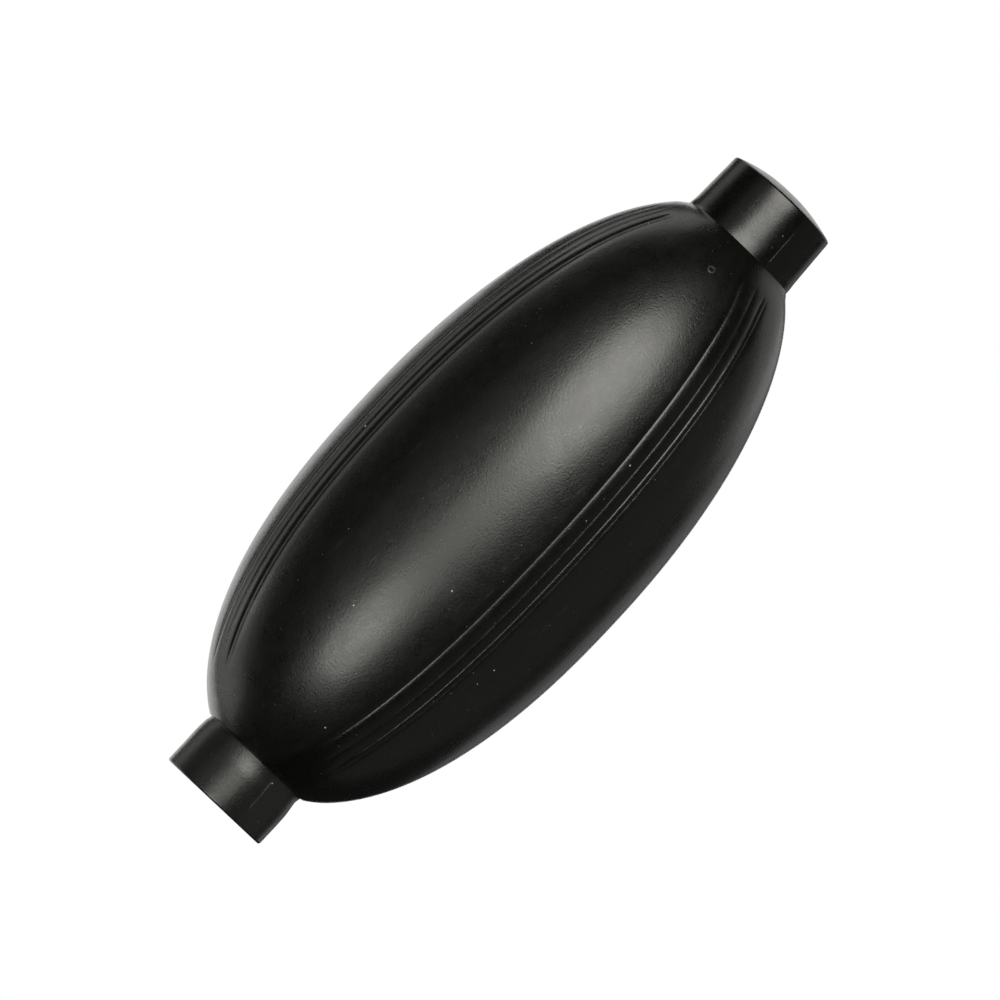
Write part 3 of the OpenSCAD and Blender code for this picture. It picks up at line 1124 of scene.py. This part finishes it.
        skin = Outline()
        skin.to(self.hose_r, 0, self.mouth_soft)
        skin.to(self.inlet_neck_r, 0, self.inlet_rim_soft)
        for i in range(self.waist_steps + 1):
            share = i / self.waist_steps
            waist = (self.inlet_neck_r - self.inlet.root_r) * (1 - math.cos(math.pi * share)) / 2
            soft = self.inlet_root_soft if share == 1 else 0.0
            skin.to(self.inlet_neck_r - waist, root_z - self.inlet_waist_l * (1 - share), soft)
        skin.along(self._belly(self.inlet, 0, self.inlet.steps)[::-1])
        skin.along(self._belly(self.outlet, 0, self.outlet.steps)[1:])
        out, up = self.outlet_root
        skin.to(self.outlet.root_r + out, neck_z + up, up)
        out, up = self.outlet_flare
        skin.to(self.outlet.root_r + out, neck_z + up, self.flare_soft)
        skin.to(self.outlet_neck_r, rim_z, self.outlet_rim_soft)
        for i in range(1, self.crown_steps + 1):
            share = i / self.crown_steps
            radius = self.outlet_neck_r + (self.hose_r - self.outlet_neck_r) * share
            height = top_z - crown_r + math.sqrt(crown_r**2 - radius**2)
            skin.to(radius, height, self.mouth_soft if share == 1 else 0.0)
        last_skin = len(skin.points) - 1

        self._inside(skin, root_z, neck_z, top_z)
        points = skin.rounded(self.corner_steps, self.gap)
        mouth = Vector(skin.points[last_skin])
        nearest = min(range(len(points)), key=lambda i: (Vector(points[i]) - mouth).length)
        rim = self.corner_steps // 2
        return points, [rim < i < nearest - rim for i in range(len(points))]

    def _belly(self, half: BellyHalf, depth: float, steps: int) -> list[Point]:
        """Outline of one half of the belly, from its widest place to its neck."""
        return [half.point(i / steps, self, depth) for i in range(steps + 1)]

    def _inner(self, half: BellyHalf) -> list[Point]:
        """Outline of one half of the belly's space, as far as it is wider than a socket."""
        line = self._belly(half, self.wall, self.inside_steps)
        return [point for point in line if point[0] > self.socket_r]

    def _inside(self, line: Outline, root_z: float, neck_z: float, top_z: float) -> None:
        """Adds the bores, the sockets and the belly's space, from the outlet down.

        Args:
            line: The outline to add them to.
            root_z: Height of the inlet neck's root; not used.
            neck_z: Height of the outlet neck's root; not used.
            top_z: Height of the crown's middle.
        """
        soft, fine = self.soft, self.fine_soft
        stop_z = top_z - self.outlet_hose_l
        valve_top = stop_z - self.lip_t
        line.to(self.hose_r, stop_z, fine)
        line.to(self.lip_r, stop_z, soft)
        line.to(self.lip_r, valve_top, fine)
        line.to(self.pocket_r, valve_top, fine)
        line.to(self.pocket_r, self.outlet_valve_z + self.collar_l, fine)
        line.to(self.collar_r, self.outlet_valve_z + self.collar_l, fine)
        line.to(self.collar_r, self.outlet_valve_z, fine)
        line.to(self.keeper_r, self.outlet_valve_z, soft)
        keeper_z = self.outlet_valve_z - self.keeper_t
        line.to(self.keeper_r, keeper_z, soft)
        line.to(self.socket_r, keeper_z, 3 * soft)
        inner = self._inner(self.outlet)
        line.to(self.socket_r, inner[-1][1] + fine, 2 * soft)
        line.along(inner[-2::-1])
        inner = self._inner(self.inlet)
        line.along(inner[1:-1])
        line.to(self.socket_r, inner[-1][1] - fine, 2 * soft)
        line.to(self.socket_r, self.inlet_socket_z, 3 * soft)
        line.to(self.pocket_r, self.inlet_socket_z, soft)
        seat_z = self.inlet_hose_l + self.lip_t
        line.to(self.pocket_r, seat_z + self.collar_l, fine)
        line.to(self.collar_r, seat_z + self.collar_l, fine)
        line.to(self.collar_r, seat_z, fine)
        line.to(self.lip_r, seat_z, fine)
        line.to(self.lip_r, self.inlet_hose_l, soft)
        line.to(self.hose_r, self.inlet_hose_l, fine)


# ---------------- the valves


@dataclass
class Spring:
    """A valve's compression spring, with a closed turn at each end."""

    coil_r: float = 2.4 * MM
    wire_r: float = 0.175 * MM
    foot: float = 9.661 * MM
    length: float = 7.0 * MM
    turns: float = 5.0
    closed: float = 0.75
    closed_pitch: float = 2.1
    steps_per_turn: int = 40
    sides: int = 12
    spread: float = 10.0

    def build(self, valve: str, base_z: float) -> bpy.types.Object:
        """Winds the wire, dresses it and sets it in place of the plain spring.

        The wire is spun far apart first, so that each vertex tells its step by its height.

        Args:
            valve: The valve's name, inlet or outlet.
            base_z: Height of the valve's foot.

        Returns:
            The spring.
        """
        bm = bmesh.new()
        bmesh.ops.create_circle(bm, cap_ends=True, segments=self.sides, radius=self.wire_r)
        step = bm.verts.layers.int.new("step")
        face = next(iter(bm.faces))
        upright = Quaternion((1, 0, 0), math.pi / 2).to_matrix()
        bmesh.ops.rotate(bm, cent=(0, 0, 0), matrix=upright, verts=bm.verts)
        bmesh.ops.translate(bm, vec=(self.coil_r, 0, 0), verts=bm.verts)
        steps = round(self.turns * self.steps_per_turn)
        rise = self.spread * self.length
        bmesh.ops.spin(
            bm,
            geom=[face],
            cent=(0, 0, 0),
            axis=(0, 0, 1),
            dvec=(0, 0, rise / steps),
            angle=FULL_TURN * self.turns,
            steps=steps,
        )
        for vert in bm.verts:
            vert[step] = round(vert.co.z / rise * steps)
            vert.co.z += -rise * vert[step] / steps + base_z + self.foot
            vert.co.z += self._height(vert[step] / self.steps_per_turn)
        piece = finished(bm, f"{valve}_spring_wire", 60)
        Finishes.SPRING.value.dress(piece)
        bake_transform(piece)
        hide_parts(f"{valve}_spring")
        return piece

    def _height(self, turn: float) -> float:
        """Height of the wire, with its ends closed and its middle open.

        Args:
            turn: Turns from its foot.

        Returns:
            The height above the foot.
        """
        tight = self.closed_pitch * self.wire_r
        open_turns = self.turns - 2 * self.closed
        open_pitch = (self.length - 2 * self.closed * tight) / open_turns
        low = min(turn, self.closed)
        middle = min(max(turn - self.closed, 0), open_turns)
        high = max(turn - self.closed - open_turns, 0)
        return (low + high) * tight + middle * open_pitch


@dataclass
class Valve:
    """One of the two ball valves: a sleeve with a seat, a ball, its spring and its cap."""

    name: str
    base_z: float

    FINISHES: ClassVar[dict[str, Finishes]] = {
        "valve_body": Finishes.BODY,
        "body_o_ring": Finishes.BODY_SEAL,
        "seat_ring": Finishes.SEAT,
        "seat_o_ring": Finishes.SEAT_SEAL,
        "ball": Finishes.BALL,
        "ball_guide": Finishes.GUIDE,
        "spring_cap": Finishes.CAP,
        "snap_ring": Finishes.RING,
    }

    def build(self) -> list[bpy.types.Object]:
        """Dresses the valve's pieces and winds its spring.

        Returns:
            The pieces.
        """
        pieces = []
        for kind, finish in self.FINISHES.items():
            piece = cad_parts[f"{self.name}_{kind}"]
            finish.value.dress(piece)
            pieces.append(piece)
        return [*pieces, Spring().build(self.name, self.base_z)]


# ---------------- the studio


class LightShape(Enum):
    """Shape of a softbox's face."""

    RECTANGLE = "RECTANGLE"
    ELLIPSE = "ELLIPSE"


@dataclass(frozen=True)
class Softbox:
    """A flat, even light on a stand, turned to the pump."""

    name: str
    side_deg: float
    lift_deg: float
    width: float
    height: float
    radiance: float
    shape: LightShape = LightShape.RECTANGLE
    distance: float = 1.5

    def build(self, studio: "Studio") -> None:
        """Hangs the light round the studio's middle.

        Args:
            studio: The studio that it belongs to.
        """
        filled = math.pi / 4 if self.shape is LightShape.ELLIPSE else 1.0
        light = bpy.data.lights.new(self.name, "AREA")
        light.shape, light.size, light.size_y = self.shape.value, self.width, self.height
        light.energy = self.radiance * math.pi * self.width * self.height * filled
        lamp = bpy.data.objects.new(self.name, light)
        away = studio.direction(self.side_deg, self.lift_deg)
        lamp.location = studio.middle + away * self.distance
        lamp.rotation_mode = "QUATERNION"
        lamp.rotation_quaternion = away.to_track_quat("Z", "Y")
        lamp.visible_camera = False
        bpy.context.scene.collection.objects.link(lamp)


@dataclass(frozen=True)
class Opening:
    """A part of the tent that is left out, between two sides and two lifts."""

    from_deg: float
    to_deg: float
    low_deg: float
    high_deg: float

    def holds(self, side_deg: float, lift_deg: float) -> bool:
        """Whether a direction goes through the opening."""
        return self.from_deg < side_deg < self.to_deg and self.low_deg < lift_deg < self.high_deg


@dataclass(frozen=True)
class Studio:
    """Floor, dim tent with bright openings, lights and camera round the pump."""

    azimuth_deg: float = -29.2
    eye_distance: float = 1.75
    eye_height: float = -0.4 * MM
    aim_height: float = 73.9 * MM
    aim_side: float = 0.18 * MM
    roll_deg: float = 43.18
    lens: float = 355.0
    sensor: float = 36.0
    clip: Point = (0.1, 30.0)
    floor_r: float = 6.0
    floor_z: float = -0.2 * MM
    floor_grey: float = 0.8
    floor_glow: float = 0.5
    tent_r: float = 3.2
    tent_glow: float = 0.012
    ambient: float = 0.55
    openings: tuple[Opening, ...] = (
        Opening(170.5, 180, -9, 36),
        Opening(180, 200, -36, 36),
        Opening(200, 214, -36, 8),
    )
    softboxes: tuple[Softbox, ...] = (
        Softbox("long_strip", -3, -1, 0.92, 2.4, 0.53),
        Softbox("key_light", 0, 25.5, 1.32, 1.05, 2.45, LightShape.ELLIPSE),
        Softbox("low_light", -8, -26, 0.85, 0.78, 1.9, LightShape.ELLIPSE),
        Softbox("left_tail", -40, 3, 0.95, 1.9, 0.1),
        Softbox("left_high_fill", -124, 40, 0.7, 1.1, 0.6),
        Softbox("left_low_fill", -118, -38, 0.8, 1.1, 0.52),
        Softbox("left_fill", -115, 0, 0.65, 1.5, 0.38),
        Softbox("right_high_fill", 139, 39, 1.15, 1.3, 0.34),
        Softbox("right_fill", 150, 8, 0.7, 0.9, 0.24),
        Softbox("right_haze", 87, -5, 1.75, 2.9, 0.06),
    )

    @property
    def middle(self) -> Vector:
        """Middle of the pump's box."""
        low, high = bounds_at_load
        return (low + high) / 2

    def direction(self, side_deg: float, lift_deg: float) -> Vector:
        """Direction from the pump.

        Args:
            side_deg: Turn from the camera's side, to its right.
            lift_deg: Lift above the level.

        Returns:
            Its unit vector.
        """
        turn = math.radians(self.azimuth_deg + side_deg)
        lift = math.radians(lift_deg)
        flat = Vector((math.sin(turn), -math.cos(turn), 0))
        return flat * math.cos(lift) + UP * math.sin(lift)

    def build(self) -> None:
        """Sets the whole studio up."""
        self._world()
        self._floor()
        self._tent()
        for softbox in self.softboxes:
            softbox.build(self)
        self._camera()

    def _camera(self) -> None:
        """Makes the camera, level with the inlet end and rolled so that the pump lies across."""
        camera = bpy.data.objects.new("camera", bpy.data.cameras.new("camera"))
        camera.data.lens, camera.data.sensor_width = self.lens, self.sensor
        camera.data.clip_start, camera.data.clip_end = self.clip
        eye = self.direction(0, 0) * self.eye_distance + UP * self.eye_height
        aim = self.direction(90, 0) * self.aim_side + UP * self.aim_height
        camera.location = eye
        camera.rotation_mode = "QUATERNION"
        roll = Quaternion((0, 0, 1), math.radians(self.roll_deg))
        camera.rotation_quaternion = (aim - eye).to_track_quat("-Z", "Y") @ roll
        bpy.context.scene.collection.objects.link(camera)
        bpy.context.scene.camera = camera

    def _world(self) -> None:
        """White where it is seen straight, in a mirror or through glass, and soft light else."""
        world = bpy.data.worlds.new("studio")
        bpy.context.scene.world = world
        world.use_nodes = True
        graph = Graph(world.node_tree)
        seen = graph.node("LightPath", output="Is Camera Ray")
        seen = seen.either(graph.node("LightPath", output="Is Glossy Ray"))
        seen = seen.either(graph.node("LightPath", output="Is Transmission Ray"))
        strength = self.ambient + seen * (1 - self.ambient)
        inputs = {"Color": WHITE, "Strength": strength}
        graph.finish("OutputWorld", graph.node("Background", None, inputs))

    def _floor(self) -> None:
        """Lays the pale floor that the pump stands on; it shows from above only."""
        bm = bmesh.new()
        bmesh.ops.create_circle(bm, cap_ends=True, segments=96, radius=self.floor_r)
        bmesh.ops.translate(bm, vec=UP * self.floor_z, verts=bm.verts)
        floor = finished(bm, "floor")
        material, graph = new_material("floor_pale")
        lit = graph.node("BsdfDiffuse", None, {"Color": (*[self.floor_grey] * 3, 1.0)})
        seen = graph.node("LightPath", output="Is Camera Ray")
        glow = graph.node("Emission", None, {"Color": WHITE, "Strength": seen * self.floor_glow})
        above = graph.node("AddShader", None, {0: lit, 1: glow})
        below = graph.node("BsdfTransparent", None, {"Color": WHITE})
        back = graph.node("NewGeometry", output="Backfacing")
        graph.finish("OutputMaterial", graph.node("MixShader", None, {0: back, 1: above, 2: below}))
        floor.data.materials.append(material)
        floor.visible_glossy = floor.visible_shadow = False

    def _tent(self) -> None:
        """Hangs the dim tent that the pump mirrors, with its openings behind the pump."""
        bm = bmesh.new()
        bmesh.ops.create_uvsphere(bm, u_segments=180, v_segments=90, radius=self.tent_r)
        bmesh.ops.translate(bm, vec=self.middle, verts=bm.verts)
        ahead, right = self.direction(0, 0), self.direction(90, 0)
        gone = []
        for face in bm.faces:
            away = (face.calc_center_median() - self.middle).normalized()
            side = math.degrees(math.atan2(away.dot(right), away.dot(ahead))) % 360
            lift = math.degrees(math.asin(away.z))
            if any(opening.holds(side, lift) for opening in self.openings):
                gone.append(face)
        bmesh.ops.delete(bm, geom=gone, context="FACES")
        tent = finished(bm, "tent")
        material, graph = new_material("tent_grey")
        inputs = {"Color": WHITE, "Strength": self.tent_glow}
        graph.finish("OutputMaterial", graph.node("Emission", None, inputs))
        tent.data.materials.append(material)
        tent.visible_camera = tent.visible_diffuse = tent.visible_shadow = False
        tent.visible_transmission = False


def main() -> None:
    """Builds the pump and the studio."""
    logging.basicConfig(level=logging.INFO, format="%(name)s: %(message)s")
    bpy.context.scene.view_settings.view_transform = "Standard"
    bulb = Bulb()
    pieces = [bulb.build()]
    pieces += Valve("inlet", bulb.inlet_hose_l + bulb.lip_t).build()
    pieces += Valve("outlet", bulb.outlet_valve_z).build()
    for piece in pieces:
        log.info("%s: %d faces", piece.name, len(piece.data.polygons))
    Studio().build()


if __name__ == "__main__":
    main()
